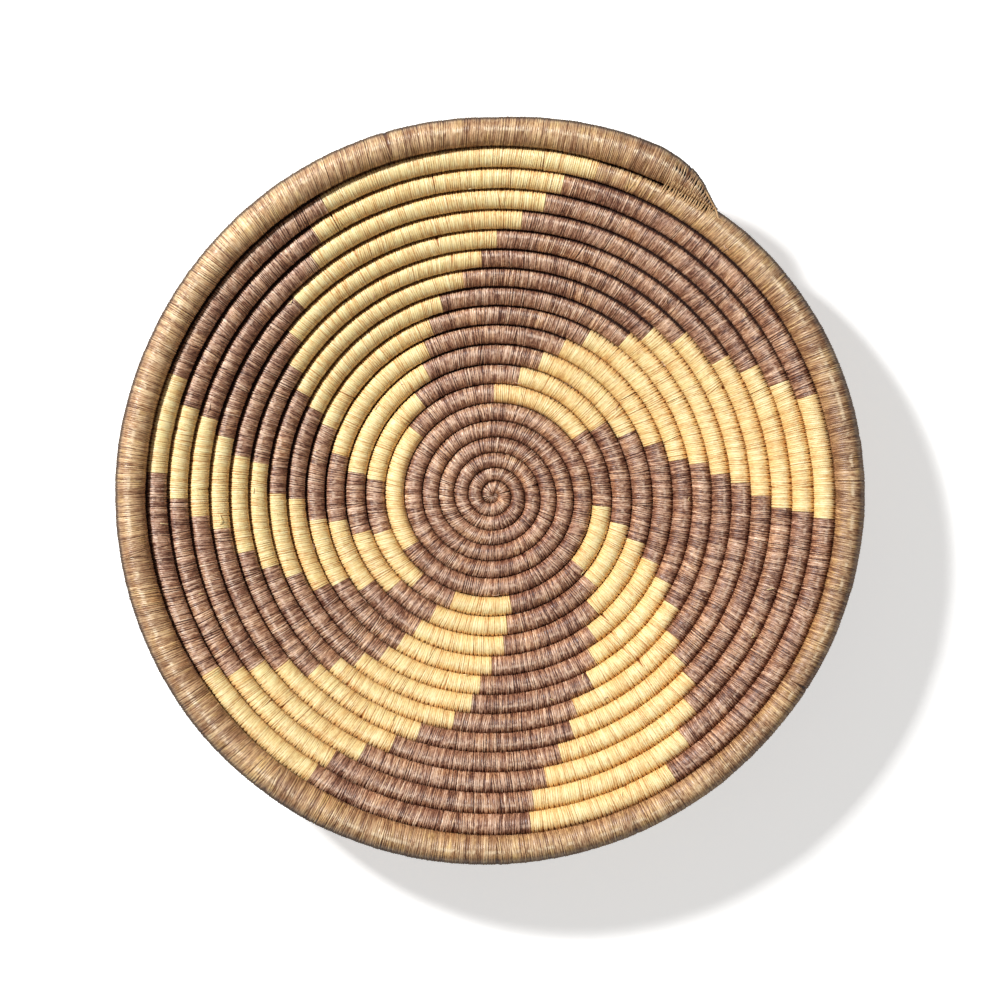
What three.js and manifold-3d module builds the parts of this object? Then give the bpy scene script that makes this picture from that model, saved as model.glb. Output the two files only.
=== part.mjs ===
// Wall basket: a shallow bowl made of one long coiled bundle, wrapped and stitched with raffia.
// Millimetres, +Z up. The basket lies on its base with the opening up. Its front, which shows on
// a wall, faces +Z, and the top of the hung basket is towards +Y.

import * as THREE from 'three';
import Module from 'manifold-3d';

const wasm = await Module();
wasm.setup();

// Driving dimensions of the bowl
const baseRadius = 50;         // flat part of the base, to the start of the bend
const bendRadius = 90;         // radius of the bend from the base into the wall
const wallSlope = THREE.MathUtils.degToRad(27);
const startRadius = 3.5;       // distance from the axis to the bundle where the coil begins
const levelTurns = 7;          // turns whose undersides lie level with each other
const footCut = 0.5;           // depth of the flat worn under the base
const stretchAcross = 1.011;   // the bowl is a little out of round: wider along x
const stretchUp = 0.994;       // and less high along y

// Driving dimensions of the coil. A place along it is given in turns, and the whole number of
// turns lies towards +Y. The coil runs clockwise and outwards as seen from the front.
const usualCoilWidth = 10;     // distance between neighbouring turns, which sets the diameter
const coilShares = [           // [turn, share of that distance which the coil has there]
  [0, 0.625], [2, 0.66], [4, 0.765], [6, 0.885], [8, 0.955], [13, 0.92], [16, 0.98], [18.05, 1.01],
  [18.12, 1.12], [18.25, 1.22], [18.5, 1.26], [18.75, 1.29], [19, 1.28], [19.03, 1.44],
  [19.055, 1.53], [19.07, 1.48], [19.078, 1.39], [19.085, 1.21], [19.0925, 0.98], [19.0975, 0.72],
  [19.1033, 0.42], [19.105, 0.32]];
const heightRatio = 1.1;       // height of the coil over its width
const seamGap = 0.5;           // open seam between neighbouring turns
const wrapThickness = 0.9;     // raffia round the foundation bundle
const bundleClearance = 0.3;   // between the bundle and the wrap's bore
const runGap = 0.3;            // between two runs of wrap, end to end
const bundleStart = 0.07;      // turn where the foundation bundle begins
const wrapStart = 0;           // turn where the wrap begins, closed over the bundle's end
const bundleEnd = 19.08;       // turn where the foundation bundle ends
const tailStart = 19.03;       // turn where the tail's lashing takes over from the rim's wrap
const tailEnd = 19.105;        // turn of the tail's tip

// Binding stitches that hold a run of wrap to the run of its colour one turn further in
const stitchWidth = 3;         // along the coil
const stitchHeight = 2.6;      // across the seam's depth
const stitchDepth = 0.35;      // into the wrap on each side

// The weaving chart: where each natural run begins and ends, in degrees clockwise from +Y, one
// value for each winding of its arm, from the base outwards. Dyed runs fill the rest.
const firstPatternTurn = 5;    // turn of the first natural run, which belongs to the fifth arm
const naturalArms = [
  { begins: [0.5, 12, 19, 24.5, 30, 39.5, 43, 49, 58.5, 63, 68, 72],
    ends: [54.5, 56.5, 65, 72, 79, 81, 84.5, 87, 90, 92.5, 93, 94] },
  { begins: [96, 103, 108, 113, 117, 122, 128.5, 132, 133.5, 137.5, 142.5, 148],
    ends: [130, 132, 139, 145, 149, 153, 159.5, 162, 166, 170, 173, 174] },
  { begins: [171, 174, 176, 180.5, 184, 186, 190, 197.5, 202, 207, 211.5, 213],
    ends: [201, 206.5, 209.5, 212, 214.5, 219, 223, 225.5, 231, 234, 235.5, 238] },
  { begins: [221, 227, 234, 240, 241.5, 248, 252, 257, 263, 266, 269.5, 274],
    ends: [251.5, 254, 260.5, 262, 269, 270.5, 278, 279, 282.5, 285.5, 286.5, 291] },
  { begins: [238, 277.5, 279.5, 285, 293, 296, 298.5, 303, 309, 315, 323, 326, 330],
    ends: [310, 323, 332, 336, 340, 345, 352, 357, 360.5, 365.5, 369.5, 372, 377] }];

// Faceting: steps round each turn, fewer in the small first turns
const coarseTurns = 2;
const coarseSteps = 8;
const fineSteps = 16;
const shortestStep = 0.0006;   // turns; a nearer station is left out

const naturalColour = 0xe6cd90;
const dyedColour = 0x9a7462;
const rimColour = 0xb08a66;
const bundleColour = 0xc9b07a;

// Distance between neighbouring turns at a place along the coil
function coilWidth(turn) {
  const inside = THREE.MathUtils.clamp(turn, coilShares[0][0], coilShares.at(-1)[0]);
  const next = Math.max(1, coilShares.findIndex(([place]) => place >= inside));
  const [from, shareFrom] = coilShares[next - 1];
  const [to, shareTo] = coilShares[next];
  return usualCoilWidth * THREE.MathUtils.mapLinear(inside, from, to, shareFrom, shareTo);
}

// Distance along the bowl's profile from the axis to the coil: each turn lies on the one before
function profileDistance(turn) {
  if (turn <= 1) {
    return startRadius + turn * (coilWidth(0) + coilWidth(1)) / 2;
  }
  return profileDistance(turn - 1) + (coilWidth(turn - 1) + coilWidth(turn)) / 2;
}

// The bowl's profile: flat base, bend and straight wall
function profilePoint(distance) {
  const bendLength = bendRadius * wallSlope;
  const bendAngle = THREE.MathUtils.clamp((distance - baseRadius) / bendRadius, 0, wallSlope);
  const wallLength = Math.max(0, distance - baseRadius - bendLength);
  const flatLength = Math.min(distance, baseRadius);
  return {
    radius: flatLength + bendRadius * Math.sin(bendAngle) + wallLength * Math.cos(wallSlope),
    height: bendRadius * (1 - Math.cos(bendAngle)) + wallLength * Math.sin(wallSlope),
    slope: bendAngle,
  };
}

function stepsAt(turn) {
  return turn < coarseTurns ? coarseSteps : fineSteps;
}

// How far a straight facet between two stations lies inside the round turn, as a factor
function facetFactor(turn) {
  const stepAngle = 2 * Math.PI / stepsAt(turn);
  const angle = 2 * Math.PI * turn;
  const fromMiddle = ((angle % stepAngle) + stepAngle) % stepAngle - stepAngle / 2;
  return Math.cos(stepAngle / 2) / Math.cos(fromMiddle);
}

// The place across the coil at one turn: outwards along the profile, and up from it
function placeAt(turn, outwards, upwards) {
  const { radius, height, slope } = profilePoint(profileDistance(turn));
  const reach = radius + outwards * Math.cos(slope) - upwards * Math.sin(slope);
  const rise = height + outwards * Math.sin(slope) + upwards * Math.cos(slope);
  const angle = 2 * Math.PI * turn;
  const facetReach = reach * facetFactor(turn);
  const baseRise = heightRatio * coilWidth(Math.min(turn, levelTurns)) / 2;
  const x = stretchAcross * facetReach * Math.sin(angle);
  const y = stretchUp * facetReach * Math.cos(angle);
  return new THREE.Vector3(x, y, rise + baseRise);
}

// The wrap's outline across the coil: six sides, with flats that face the neighbouring turns
function wrapOutline(turn) {
  const halfWidth = (coilWidth(turn) - seamGap) / 2;
  return [30, 90, 150, 210, 270, 330].map((degrees) => {
    const angle = THREE.MathUtils.degToRad(degrees);
    const cornerReach = halfWidth / Math.cos(Math.PI / 6);
    return new THREE.Vector2(cornerReach * Math.cos(angle), heightRatio * halfWidth * Math.sin(angle));
  });
}

// The outline of the bundle, or of the bore round it, with corners towards seams and faces
function bundleOutline(turn, inset) {
  const halfWidth = (coilWidth(turn) - seamGap) / 2 - inset;
  return [0, 90, 180, 270].map((degrees) => {
    const angle = THREE.MathUtils.degToRad(degrees);
    return new THREE.Vector2(halfWidth * Math.cos(angle), heightRatio * halfWidth * Math.sin(angle));
  });
}

const boreOutline = (turn) => bundleOutline(turn, wrapThickness);
const coreOutline = (turn) => bundleOutline(turn, wrapThickness + bundleClearance);

// Turns where a tube from one place to another has its sections
function stations(from, to) {
  const places = coilShares.map(([turn]) => turn);
  for (let place = 0; place < to; place += 1 / stepsAt(place)) places.push(place);
  const inside = places.filter((place) => place > from + shortestStep && place < to - shortestStep);
  return [from, ...new Set(inside.sort((a, b) => a - b)), to];
}

// A closed body from vertices and triangles
function solidFrom(vertices, triangles) {
  const vertProperties = new Float32Array(vertices.flatMap((v) => [v.x, v.y, v.z]));
  const triVerts = new Uint32Array(triangles);
  return new wasm.Manifold(new wasm.Mesh({ numProp: 3, vertProperties, triVerts }));
}

// One skin of a tube, with the numbers of its first vertices and its last
function addSkin(body, outlineAt, from, to, inwards) {
  const first = body.vertices.length;
  const places = stations(from, to);
  const sides = outlineAt(from).length;
  for (const turn of places) {
    body.vertices.push(...outlineAt(turn).map((corner) => placeAt(turn, corner.x, corner.y)));
  }
  for (let ring = 0; ring < places.length - 1; ring += 1) {
    for (let side = 0; side < sides; side += 1) {
      const a = first + ring * sides + side;
      const b = first + ring * sides + (side + 1) % sides;
      const quad = [a, b, a + sides, b, b + sides, a + sides];
      body.triangles.push(...(inwards ? quad.reverse() : quad));
    }
  }
  const last = first + (places.length - 1) * sides;
  return { start: { turn: from, first }, end: { turn: to, first: last }, outlineAt };
}

// A flat end face on one section, open round a second outline where there is one
function addEndFace(body, skin, end, facesOn, opening) {
  const outline = skin.outlineAt(skin[end].turn);
  const hole = opening ? opening.outlineAt(opening[end].turn) : [];
  const numberOf = (corner) => (corner < outline.length
    ? skin[end].first + corner : opening[end].first + corner - outline.length);
  for (const face of THREE.ShapeUtils.triangulateShape(outline, opening ? [hole] : [])) {
    const [a, b, c] = face.map((corner) => [...outline, ...hole][corner]);
    const anticlockwise = b.clone().sub(a).cross(c.clone().sub(a)) > 0;
    const numbers = face.map(numberOf);
    body.triangles.push(...(anticlockwise === facesOn ? numbers : numbers.reverse()));
  }
}

// A solid length of bundle
function bundle(from, to) {
  const body = { vertices: [], triangles: [] };
  const skin = addSkin(body, coreOutline, from, to, false);
  addEndFace(body, skin, 'start', false);
  addEndFace(body, skin, 'end', true);
  return solidFrom(body.vertices, body.triangles);
}

// A length of wrap with its bore. A bore that begins later or ends sooner than the wrap is closed.
function sleeve(from, to, boreFrom = from, boreTo = to) {
  const body = { vertices: [], triangles: [] };
  const outside = addSkin(body, wrapOutline, from, to, false);
  const bore = addSkin(body, boreOutline, boreFrom, boreTo, true);
  const closedAt = { start: boreFrom > from, end: boreTo < to };
  for (const end of ['start', 'end']) {
    addEndFace(body, outside, end, end === 'end', closedAt[end] ? undefined : bore);
    if (closedAt[end]) addEndFace(body, bore, end, end === 'start');
  }
  return solidFrom(body.vertices, body.triangles);
}

// The distance in turns that a length along the coil takes at one place
function turnsFor(length, turn) {
  return length / (2 * Math.PI * profilePoint(profileDistance(turn)).radius);
}

// A run of wrap from one place to another, less half a gap at each end
function runOfWrap({ from, to }) {
  return sleeve(from + turnsFor(runGap / 2, from), to - turnsFor(runGap / 2, to));
}

// One binding stitch through the seam between a place and the turn inside it
function stitchAt(turn) {
  const box = new THREE.BoxGeometry(seamGap + 2 * stitchDepth, stitchWidth, stitchHeight);
  const outwards = -coilWidth(turn) / 2;
  const middle = placeAt(turn, outwards, 0);
  const above = placeAt(turn, outwards, 1);
  const further = placeAt(turn, outwards + 1, 0);
  const across = further.sub(middle).normalize();
  const upwards = above.sub(middle).normalize();
  const along = new THREE.Vector3().crossVectors(upwards, across);
  box.applyMatrix4(new THREE.Matrix4().makeBasis(across, along, upwards).setPosition(middle));
  return solidFromGeometry(box);
}

function solidFromGeometry(geometry) {
  const position = geometry.getAttribute('position');
  const vertices = [];
  const found = new Map();
  const vertexOf = [];
  for (let index = 0; index < position.count; index += 1) {
    const vertex = new THREE.Vector3().fromBufferAttribute(position, index);
    const key = vertex.toArray().map((value) => value.toFixed(4)).join(' ');
    if (!found.has(key)) {
      found.set(key, vertices.length);
      vertices.push(vertex);
    }
    vertexOf.push(found.get(key));
  }
  return solidFrom(vertices, Array.from(geometry.index.array, (index) => vertexOf[index]));
}

// The middle of the widest flat facet between two places
function middleOfWidestFacet(from, to) {
  const places = stations(from, to);
  let widest = 1;
  for (let index = 2; index < places.length; index += 1) {
    if (places[index] - places[index - 1] > places[widest] - places[widest - 1]) widest = index;
  }
  return (places[widest] + places[widest - 1]) / 2;
}

// An arm: its runs, each stitched to the one before it in the middle of what they share
function armOf(runs) {
  const pieces = runs.map(runOfWrap);
  for (let index = 1; index < runs.length; index += 1) {
    const from = Math.max(runs[index].from, runs[index - 1].from + 1);
    const to = Math.min(runs[index].to, runs[index - 1].to + 1);
    pieces.push(stitchAt(middleOfWidestFacet(from, to)));
  }
  return wasm.Manifold.union(pieces);
}

// The natural runs of an arm as places along the coil
function naturalRuns(arm, firstTurn) {
  return arm.begins.map((begins, winding) => ({
    from: firstTurn + winding + begins / 360,
    to: firstTurn + winding + arm.ends[winding] / 360,
  }));
}

// The dyed runs between two natural arms, from the end of each run to the next run's start
function dyedRuns(before, after) {
  return after.map((run, winding) => ({ from: before[winding].to, to: run.from }));
}

// The flat foot: everything under the resting plane is taken off
function onFlatFoot(solid) {
  const reach = 2 * profilePoint(profileDistance(tailEnd)).radius;
  const lowest = solid.boundingBox().min[2];
  if (lowest >= footPlane) return solid;
  const below = new THREE.BoxGeometry(reach, reach, reach);
  below.translate(0, 0, footPlane - reach / 2);
  return solid.subtract(solidFromGeometry(below));
}

const footPlane = heightRatio * seamGap / 2 + footCut;

function geometryOf(solid) {
  const { vertProperties, triVerts } = solid.getMesh();
  const geometry = new THREE.BufferGeometry();
  geometry.setAttribute('position', new THREE.BufferAttribute(vertProperties, 3));
  geometry.setIndex(new THREE.BufferAttribute(triVerts, 1));
  return geometry;
}

function addPiece(group, name, solid, colour) {
  const material = new THREE.MeshStandardMaterial({ color: colour, roughness: 0.7, metalness: 0 });
  const mesh = new THREE.Mesh(geometryOf(solid), material);
  mesh.name = name;
  group.add(mesh);
}

// Points round one section of a tube, its corners and places between them
function pointsRound(outlineAt, turn) {
  const pointsPerSide = 8;
  const corners = outlineAt(turn).map((corner) => placeAt(turn, corner.x, corner.y));
  return corners.flatMap((corner, side) => {
    const next = corners[(side + 1) % corners.length];
    return Array.from({ length: pointsPerSide }, (_, step) => corner.clone().lerp(next, step / pointsPerSide));
  });
}

// The least gap between an unbroken tube and its own next turn, measured on points
function leastSelfGap(outlineAt, from, to) {
  let least = Infinity;
  for (const turn of stations(from, to - 1)) {
    const inner = pointsRound(outlineAt, turn);
    for (const point of pointsRound(outlineAt, turn + 1)) {
      for (const other of inner) least = Math.min(least, point.distanceTo(other));
    }
  }
  return least;
}

const fifthArm = naturalRuns(naturalArms[4], firstPatternTurn);
const firstFourArms = naturalArms.slice(0, 4).map((arm) => naturalRuns(arm, firstPatternTurn + 1));
const armsInOrder = [fifthArm.slice(0, -1), ...firstFourArms, fifthArm.slice(1)];
const patternStart = fifthArm[0].from;
const patternEnd = fifthArm[fifthArm.length - 1].to;

const basket = new THREE.Group();

addPiece(basket, 'foundation_coil', bundle(bundleStart, bundleEnd), bundleColour);

const boreStart = bundleStart - turnsFor(bundleClearance, bundleStart);
const centreEnd = patternStart - turnsFor(runGap / 2, patternStart);
addPiece(basket, 'centre_wrap', onFlatFoot(sleeve(wrapStart, centreEnd, boreStart)), dyedColour);

[...firstFourArms, fifthArm].forEach((runs, index) => {
  addPiece(basket, `natural_arm_${index + 1}`, onFlatFoot(armOf(runs)), naturalColour);
});

for (let index = 0; index < armsInOrder.length - 1; index += 1) {
  const runs = dyedRuns(armsInOrder[index], armsInOrder[index + 1]);
  addPiece(basket, `dyed_arm_${index + 1}`, onFlatFoot(armOf(runs)), dyedColour);
}

addPiece(basket, 'rim_wrap', runOfWrap({ from: patternEnd, to: tailStart }), rimColour);

const lashingStart = tailStart + turnsFor(runGap / 2, tailStart);
const boreEnd = bundleEnd + turnsFor(bundleClearance, bundleEnd);
addPiece(basket, 'tail_lashing', sleeve(lashingStart, tailEnd, lashingStart, boreEnd), rimColour);

const bundleSelfGap = leastSelfGap(coreOutline, bundleStart, bundleEnd);
const centreSelfGap = leastSelfGap(wrapOutline, wrapStart, centreEnd);
console.log('foundation_coil: least gap to itself in mm', bundleSelfGap.toFixed(2));
console.log('centre_wrap: least gap to itself in mm', centreSelfGap.toFixed(2));

// The origin is under the middle of the whole basket, on the plane that it rests on
const extent = new THREE.Box3().setFromObject(basket);
const middle = extent.getCenter(new THREE.Vector3());
for (const piece of basket.children) piece.position.set(-middle.x, -middle.y, -extent.min.z);

export default basket;
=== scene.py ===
"""A coiled raffia wall basket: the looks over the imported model. Lengths are in millimetres until
the meshes are made, which are in metres."""
import math

import bpy
import numpy as np
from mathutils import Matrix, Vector


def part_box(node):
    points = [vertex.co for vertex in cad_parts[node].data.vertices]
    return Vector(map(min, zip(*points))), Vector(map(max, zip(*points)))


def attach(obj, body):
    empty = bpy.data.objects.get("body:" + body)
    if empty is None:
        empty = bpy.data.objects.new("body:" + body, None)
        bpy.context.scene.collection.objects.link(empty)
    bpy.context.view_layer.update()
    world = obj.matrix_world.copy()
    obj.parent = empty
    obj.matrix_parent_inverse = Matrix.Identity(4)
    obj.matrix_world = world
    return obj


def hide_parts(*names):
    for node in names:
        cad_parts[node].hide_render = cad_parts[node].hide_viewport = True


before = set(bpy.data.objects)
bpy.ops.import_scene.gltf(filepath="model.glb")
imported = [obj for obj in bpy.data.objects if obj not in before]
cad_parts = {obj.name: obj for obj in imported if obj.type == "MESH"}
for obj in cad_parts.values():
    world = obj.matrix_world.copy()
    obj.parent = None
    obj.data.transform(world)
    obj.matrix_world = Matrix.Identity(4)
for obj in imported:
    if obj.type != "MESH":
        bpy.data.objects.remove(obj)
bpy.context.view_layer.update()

MM = 0.001

# The bowl and its coil, as in the model. A place along the coil is given in turns.
BASE_RADIUS = 50
BEND_RADIUS = 90
WALL_SLOPE = math.radians(27)
START_RADIUS = 3.5
LEVEL_TURNS = 7           # up to this turn the coil's underside lies on the bowl's profile
STRETCH_ACROSS = 1.011    # the outline is a little wider than it is high
STRETCH_UP = 0.994
COIL_WIDTHS = [
    (-1.1, 4.6), (-0.4, 5.4), (0, 6.25), (2, 6.6), (4, 7.65), (6, 8.85), (8, 9.55), (13, 9.2),
    (16, 9.8), (18.05, 10.1), (18.09, 11.0), (18.105, 12.3), (18.12, 12.8), (18.17, 13.1),
    (18.2, 13.0), (18.25, 12.2), (18.3, 11.1), (18.36, 10.5), (18.42, 11.2), (18.5, 12.5),
    (18.58, 13.9), (18.64, 14.2), (18.72, 12.9), (18.82, 12.5), (18.9, 13.3), (18.95, 13.2),
    (19, 12.1), (19.03, 13.5), (19.055, 14.4), (19.07, 14.0), (19.078, 13.1), (19.085, 11.5),
    (19.089, 10.0), (19.0925, 8.1), (19.0965, 5.2), (19.102, 1.7), (19.1035, 1.1)]
UNEVEN_TURNS = 4          # inside this turn the coil's width varies a little
UNEVEN_FADE = 2
UNEVEN_SHARE = 0.05
UNEVEN_SPACING = 0.15
HEIGHT_RATIO = 1.1        # the coil's height as a share of its width
SEAM_GAP = 0.5
FOOT_CUT = 0.5
INNER_START = -1.1        # the tight knot inside the first turn
KNOT_RADIUS = 1.2
LEAST_BEND_RADIUS = 3     # the coil's length is measured on at least this radius
RIM_START = 18.1          # from here the coil's outer side is free
RIM_MARKS = (18.25, 19)   # the rim at the right and at the top
TAIL_START = 19.03
TAIL_END = 19.1035

# The weaving chart: where each natural run begins and ends, in degrees clockwise from +Y
FIRST_PATTERN_TURN = 5
NATURAL_ARMS = [
    ([0.5, 12, 19, 24.5, 30, 39.5, 43, 49, 58.5, 63, 68, 72],
     [54.5, 56.5, 65, 72, 79, 81, 84.5, 87, 90, 92.5, 93, 94]),
    ([96, 103, 108, 113, 117, 122, 128.5, 132, 133.5, 137.5, 142.5, 148],
     [130, 132, 139, 145, 149, 153, 159.5, 162, 166, 170, 173, 174]),
    ([171, 174, 176, 180.5, 184, 186, 190, 197.5, 202, 207, 211.5, 213],
     [201, 206.5, 209.5, 212, 214.5, 219, 223, 225.5, 231, 234, 235.5, 238]),
    ([221, 227, 234, 240, 241.5, 248, 252, 257, 263, 266, 269.5, 274],
     [251.5, 254, 260.5, 262, 269, 270.5, 278, 279, 282.5, 285.5, 286.5, 291]),
    ([238, 277.5, 279.5, 285, 293, 296, 298.5, 303, 309, 315, 323, 326, 330],
     [310, 323, 332, 336, 340, 345, 352, 357, 360.5, 365.5, 369.5, 372, 377])]
RUNS_PER_PIECE = 4
CENTRE_JOINS = (1.5, 3.5)      # turns where one length of the centre's wrap meets the next
RIM_PARTS = 4

# The wrap's cross-section. A side's direction is ACROSS, outwards, and UP, each from -1 to 1.
SIDES = 20
SECTION_POWER = 2.3       # 2 is an ellipse, more is squarer
OVERLAP = 0.04            # how far each wrap reaches past the middle of the seam
FLAT_WAIST = 0.2          # where UP is within this, turns touch and have no groove between them
WAIST = 0.3               # where UP is within this, seam holes fade out
SEAM_POWER = 7            # how sharply a seam hole ends away from the seam
INNER_HOLES = 0.2         # seam holes on the coil's inner side, as a share of the outer ones
SIDE_FADE = 0.01          # turns in which the rim's outer side comes free

# The wrap's stitches
STITCH_WIDTH = 0.95
TIGHT_STITCH = 0.8        # in the knot and on the tail
FEWEST_STITCHES = 4
WIDTH_SPREAD = 0.22
HEIGHT_SPREAD = 0.05
STITCH_PROFILE = [(0.0, -1.0), (0.25, 0.2), (0.5, 1.0), (0.75, 0.2)]     # place and rise
CROWN = 0.08              # rise of a stitch's middle
GROOVE = 0.12             # depth between two stitches on the faces
GROOVE_SHARES = (0.5, 0.7)     # of GROOVE: in every groove, and for each unit of its own depth
GROOVE_DEPTHS = (0.4, 2.0)     # the faintest groove's own depth, and how much the deepest adds
GROOVE_SHADE = (0.9, 1.5)      # the rise where a groove's shade ends, and the power of its fading
HOLE = 0.75               # further depth where a pair of stitches parts at the seam
HOLE_PATTERN = (1, 0.5, 0, 0, 0, 0, 0, 0.5)     # how open the hole is over a pair of stitches
SLOT_PATTERN = (1, 1, 0.4, 0, 0, 0, 0.4, 1)     # the same for the tail's slots
LUMPS = [(0.012, 15), (0.01, 3.5)]     # shares by which a run's width varies, and their spacing
KNOT_CURL = 0.12          # turns in which the coil opens out of the knot
KNOT_TIP = 0.02           # the least share of KNOT_CURL, at the knot's first ring
KNOT_RISE = 0.4           # the least share of its height that the coil keeps in the knot

# How stitches lean, and where a new length of raffia begins with a crack
LEAN = 0.03
LEAN_WAVE = (0.13, 26)    # size and spacing
LEAN_SPREAD = 0.018
LEAN_FADE = 3             # this near a run's end, stitches stand straight
SPLICE_SPACING = (45, 130)
FIRST_SPLICE = (0.2, 1)   # share of a spacing before a run's first splice
SPLICE_LEAN = (0.08, 0.2)
SPLICE_REACH = 3.5
SPLICE_END = 6            # no splice lies closer to a run's end
CRACK_DEPTHS = (0.8, 2)
CRACK_STEP = 0.12         # how much lower a crack lies for each unit of its depth
OPEN_CRACK = [(1, 0), (2.5, 1)]        # by a crack's depth: how far it opens
MARKED_CRACKS = [(16.918, 3), (11.172, 2), (15.189, 2), (15.339, 2.5), (3.325, 2), (3.125, 2),
                 (16.970, 2), (-0.98, 3), (-0.72, 2.5), (-0.5, 2), (-0.4, 3), (-0.33, 3),
                 (-0.12, 2), (0.22, 2.5)]        # turn and depth

# How open the seams are round the bowl and how much painted shadow fills them, by the share of a turn
# from the top: most from the left round over the top
SEAM_OPENING_AND_SHADOW = [(0, 0.6), (0.08, 0.85), (0.13, 0.85), (0.18, 0.4), (0.22, 0), (0.62, 0),
              (0.7, 0.4), (0.75, 0.7), (0.82, 0.9), (0.92, 0.9), (1, 0.6)]
NATURAL_SEAMS = [(0, 0.7), (0.06, 0.4), (0.12, 0), (0.3, 0), (0.6, 0.7)]     # natural runs' share
CENTRE_SEAMS = [(4.75, 0.25), (7, 1)]  # by the turn: the share of it near the centre
NOTCH = [(0.7, 0), (0.95, 1)]          # by ACROSS: the notched edge of an open seam
SHUT_NOTCH = 0.6                       # a notch between two holes, as a share of one at a hole
# Painted shade that darkens the rim's outer edge, by the share of a turn from the top
RIM_EDGE_SHADE = [(0, 1), (0.1, 1), (0.2, 0.5), (0.3, 0.2), (0.42, 0.3), (0.5, 0.7), (0.62, 0.9),
             (0.75, 1), (1, 1)]        # the rim's outer edge

# Paler and darker stretches of the dyed coils by the share of a turn, and painted light and shade on
# the rim by the turn: paler on the upper left, darker on the right
DYED_TONES = [(0, 0), (0.1, -0.05), (0.25, -0.15), (0.4, -0.12), (0.55, 0), (1, 0)]
RIM_PAINTED_LIGHT = [(18.1, 0), (18.16, -0.3), (18.32, -0.35), (18.45, -0.15), (18.7, -0.15),
             (18.82, 0.1), (18.88, 0.5), (18.93, 0.2), (18.98, -0.1), (19.03, -0.1)]

# The tail's rows of slots: the turn where each begins and its ACROSS
TAIL_SLOTS = [(19.075, 0.59), (19.091, 0.31), (19.094, 0.0)]
SLOT_FADE = 0.006
SLOT_REACH = 0.3

# Loose strands, with places across the coil as shares of its half width
STRAND_SIDES = 6
STRAND_TIP = 0.35              # the size of a strand's end as a share of its middle's
FACE_EDGE = 0.98
SIDE_STEP = 0.001              # turns to the line beside a strand, which says how it lies
TAIL_STITCHES = 22
TAIL_STITCH_TURNS = (19.078, 19.102)
TAIL_STITCH_SPREADS = (0.00012, 0.0004)        # in turns, on the tail and on the coil beneath
TAIL_STITCH_PLACES = (-0.2, -0.55, -0.82)
TAIL_STITCH_PLACES_BENEATH = (0.82, 0.7)
TAIL_STITCH_REACH = (0.35, 0.7)                # its last place beneath
TAIL_STITCH_WIDTH = (0.6, 0.8)
TAIL_STITCH_THICKNESS = 0.35
TAIL_STITCH_LIFT = 0.08
TIP_STRAND = [(19.095, 0.86), (19.0985, 0.75), (19.1015, 0.5), (19.103, 0), (18.106, 0.86),
              (18.109, 0.86)]
TIP_STRAND_SIZE = (0.9, 0.5)
TIP_STRAND_LIFT = 0.15

# Stray fibres. The marked ones have a turn, a share of the half width outwards and a length.
NATURAL_STRAYS = [(11.455, 0.76, 4.5), (11.427, -0.88, 4.5), (17.436, -0.6, 4), (14.733, 0.3, 5)]
DYED_STRAYS = [(15.795, 0.5, 5), (14.85, 0.7, 4), (18.116, -0.3, 3), (3.135, 0.5, 3),
               (3.15, 0.7, 3)]
STRAY_COUNTS = {"natural": 22, "dyed": 24}
STRAY_TURNS = (5.3, 18.0)
STRAY_PLACES = (0.62, 0.9)
STRAY_LENGTHS = (1.6, 4.0)
STRAY_THICKNESS = (0.22, 0.4)
STRAY_STEPS = 9
LOOP_SHARE = 0.6               # of the strays are loops, and the others are loose ends
LOOP_BEND = 0.12
LOOP_LIFT = (0.3, 1.1)
END_SHARE = 0.4                # of a loose end's length lies along the coil
END_BEND = (0.3, 1.3)
END_START = 0.15
END_LIFT = (0.2, 0.9)

# Random draws: a seed for each kind of run or strand
SEEDS = {"uneven": 5, "natural": 7, "dyed": 517, "centre": 71, "rim": 900, "tail": 953,
         "tail_strands": 77, "natural_strays": 31, "dyed_strays": 57}
SEEDS_PER_ARM = 1000
SEEDS_PER_RUN = 10
NOISE_VALUES = 4096

# The map for the bake, where each run or strand has a row of its own, with margins as shares
MAP_EDGE = 0.012               # before the tube's first ring, and after its last
MAP_TIP = 0.002                # before the point in the middle of its end
WRAP_MARGIN = 0.03
STRAND_MARGIN = 0.1
STRAND_CAP_MIDDLE = (0.985, 0.5)
STRAND_CAP_REACH = (0.01, 0.3)
ATTRIBUTES = ("along", "around_x", "around_y", "sideways", "tone", "groove", "hole", "shadow")

LAST_TURN = 19.3
STEPS_PER_TURN = 720
TURNS = np.arange(int(INNER_START * STEPS_PER_TURN),
                  int(LAST_TURN * STEPS_PER_TURN)) / STEPS_PER_TURN


def smooth_noise(seed, positions, spacing):
    """Even noise from -1 to 1 along a length, with the given spacing."""
    values = np.random.default_rng(seed).uniform(-1, 1, NOISE_VALUES)
    where = np.asarray(positions) / spacing
    low = np.floor(where).astype(int)
    part = where - low
    part = part * part * (3 - 2 * part)
    return values[low % NOISE_VALUES] * (1 - part) + values[(low + 1) % NOISE_VALUES] * part


def between_stops(positions, stops):
    """The value at each position, straight from one stop to the next."""
    return np.interp(positions, *zip(*stops))


UNEVENNESS = (UNEVEN_SHARE * np.clip((UNEVEN_TURNS - TURNS) / UNEVEN_FADE, 0, 1)
              * smooth_noise(SEEDS["uneven"], TURNS, UNEVEN_SPACING))
WIDTHS = between_stops(TURNS, COIL_WIDTHS) * (1 + UNEVENNESS)


def half_width(turns):
    return np.interp(turns, TURNS, WIDTHS) / 2


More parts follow.
